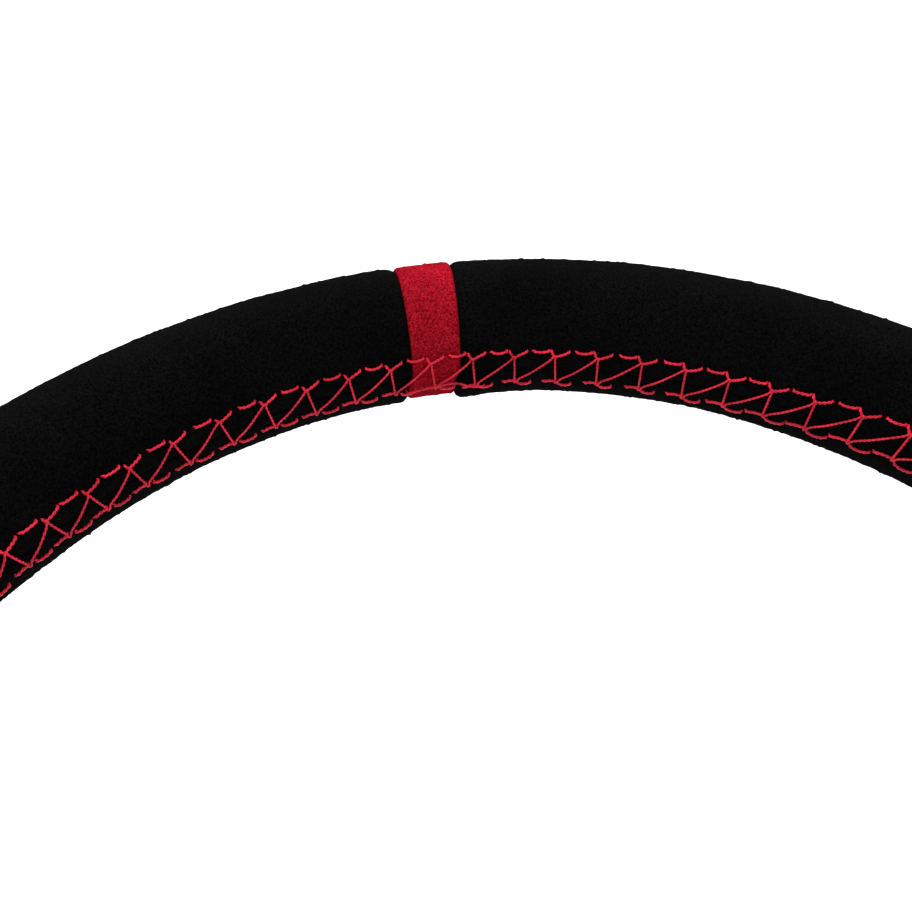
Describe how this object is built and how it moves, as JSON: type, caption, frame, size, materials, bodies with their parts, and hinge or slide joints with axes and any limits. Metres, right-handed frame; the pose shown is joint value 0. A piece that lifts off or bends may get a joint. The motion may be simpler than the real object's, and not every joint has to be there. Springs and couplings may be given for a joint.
{
  "type": "quick release steering wheel",
  "caption": "Dished three-spoke steering wheel with a laced suede grip, red centre band, horn button and a ball-lock quick release hub.",
  "frame": {"origin": "centre of the flange face that bolts to the steering column's boss, on the steering axis", "axes": "+Z along the steering axis towards the driver; +Y towards the top of the rim, where the centre band is; +X to the driver's right"},
  "size_m": [0.33, 0.3298, 0.1716],
  "materials": {
    "black_anodised": "satin black anodised",
    "red_anodised": "satin red anodised",
    "alloy": "as extruded",
    "steel": "ground",
    "black_steel": "black oxide",
    "spring_steel": "drawn wire",
    "brass": "satin",
    "nylon": "moulded",
    "gloss_plastic": "gloss",
    "rubber": "moulded",
    "wire_insulation": "extruded sleeve",
    "foam": "moulded foam",
    "black_suede": "black suede nap",
    "red_suede": "red suede nap",
    "thread": "waxed twisted thread"
  },
  "bodies": {
    "column_side": {"base_hub": "black_anodised", "base_screw_1": "black_steel", "base_screw_2": "black_steel", "base_screw_3": "black_steel", "base_screw_4": "black_steel", "base_screw_5": "black_steel", "base_screw_6": "black_steel", "collar_spring": "spring_steel", "spring_washer": "steel", "snap_ring": "spring_steel", "contact_insulator": "nylon", "contact_plate": "brass"},
    "lock_collar": {"lock_collar": "red_anodised"},
    "lock_ball_1": {"lock_ball_1": "steel"},
    "lock_ball_2": {"lock_ball_2": "steel"},
    "lock_ball_3": {"lock_ball_3": "steel"},
    "lock_ball_4": {"lock_ball_4": "steel"},
    "lock_ball_5": {"lock_ball_5": "steel"},
    "lock_ball_6": {"lock_ball_6": "steel"},
    "wheel_side": {"wheel_hub": "black_anodised", "plug_insulator": "nylon", "pin_spring": "spring_steel", "pin_terminal": "brass", "o_ring": "rubber", "horn_lead_live": "wire_insulation", "horn_lead_earth": "wire_insulation", "earth_eyelet": "brass", "earth_screw": "steel", "spoke_frame": "black_anodised", "rim_core": "alloy", "grip_foam": "foam", "cover_right": "black_suede", "cover_left": "black_suede", "centre_band": "red_suede", "front_stitches_upper": "thread", "front_stitches_lower_right": "thread", "front_stitches_lower_left": "thread", "rear_stitches_upper": "thread", "rear_stitches_lower_right": "thread", "rear_stitches_lower_left": "thread", "lacing_upper": "thread", "lacing_lower_right": "thread", "lacing_lower_left": "thread", "horn_ring": "black_anodised", "wheel_screw_1": "black_steel", "wheel_screw_2": "black_steel", "wheel_screw_3": "black_steel", "wheel_screw_4": "black_steel", "wheel_screw_5": "black_steel", "wheel_screw_6": "black_steel", "horn_housing": "nylon", "contact_ring_lower": "brass", "contact_centre": "brass", "horn_spring": "spring_steel"},
    "contact_pin": {"contact_pin": "brass"},
    "horn_button": {"horn_cap": "gloss_plastic", "contact_disc_upper": "brass"}
  },
  "joints": [
    {"name": "wheel_release", "type": "slide", "parent": "column_side", "child": "wheel_side", "axis": [0, 0, 1], "range_m": [0, 0.06]},
    {"name": "collar_slide", "type": "slide", "parent": "column_side", "child": "lock_collar", "axis": [0, 0, 1], "range_m": [-0.006, 0], "stiffness_N_per_m": 1500, "springref_m": -0.012, "deforming": ["collar_spring"]},
    {"name": "ball_1_slide", "type": "slide", "parent": "column_side", "child": "lock_ball_1", "axis": [0.866, 0.5, 0], "range_m": [-0.0016, 0]},
    {"name": "ball_2_slide", "type": "slide", "parent": "column_side", "child": "lock_ball_2", "axis": [0, 1, 0], "range_m": [-0.0016, 0]},
    {"name": "ball_3_slide", "type": "slide", "parent": "column_side", "child": "lock_ball_3", "axis": [-0.866, 0.5, 0], "range_m": [-0.0016, 0]},
    {"name": "ball_4_slide", "type": "slide", "parent": "column_side", "child": "lock_ball_4", "axis": [-0.866, -0.5, 0], "range_m": [-0.0016, 0]},
    {"name": "ball_5_slide", "type": "slide", "parent": "column_side", "child": "lock_ball_5", "axis": [0, -1, 0], "range_m": [-0.0016, 0]},
    {"name": "ball_6_slide", "type": "slide", "parent": "column_side", "child": "lock_ball_6", "axis": [0.866, -0.5, 0], "range_m": [-0.0016, 0]},
    {"name": "contact_pin_slide", "type": "slide", "parent": "wheel_side", "child": "contact_pin", "axis": [0, 0, 1], "range_m": [-0.0003, 0.0009], "stiffness_N_per_m": 300, "springref_m": -0.0012, "deforming": ["pin_spring"]},
    {"name": "horn_press", "type": "slide", "parent": "wheel_side", "child": "horn_button", "axis": [0, 0, -1], "range_m": [0, 0.0025], "stiffness_N_per_m": 1200, "springref_m": -0.004, "deforming": ["horn_spring"]}
  ],
  "couplings": [
    {"joint": "ball_1_slide", "follows": "collar_slide", "ratio": 0.26667},
    {"joint": "ball_2_slide", "follows": "collar_slide", "ratio": 0.26667},
    {"joint": "ball_3_slide", "follows": "collar_slide", "ratio": 0.26667},
    {"joint": "ball_4_slide", "follows": "collar_slide", "ratio": 0.26667},
    {"joint": "ball_5_slide", "follows": "collar_slide", "ratio": 0.26667},
    {"joint": "ball_6_slide", "follows": "collar_slide", "ratio": 0.26667}
  ]
}
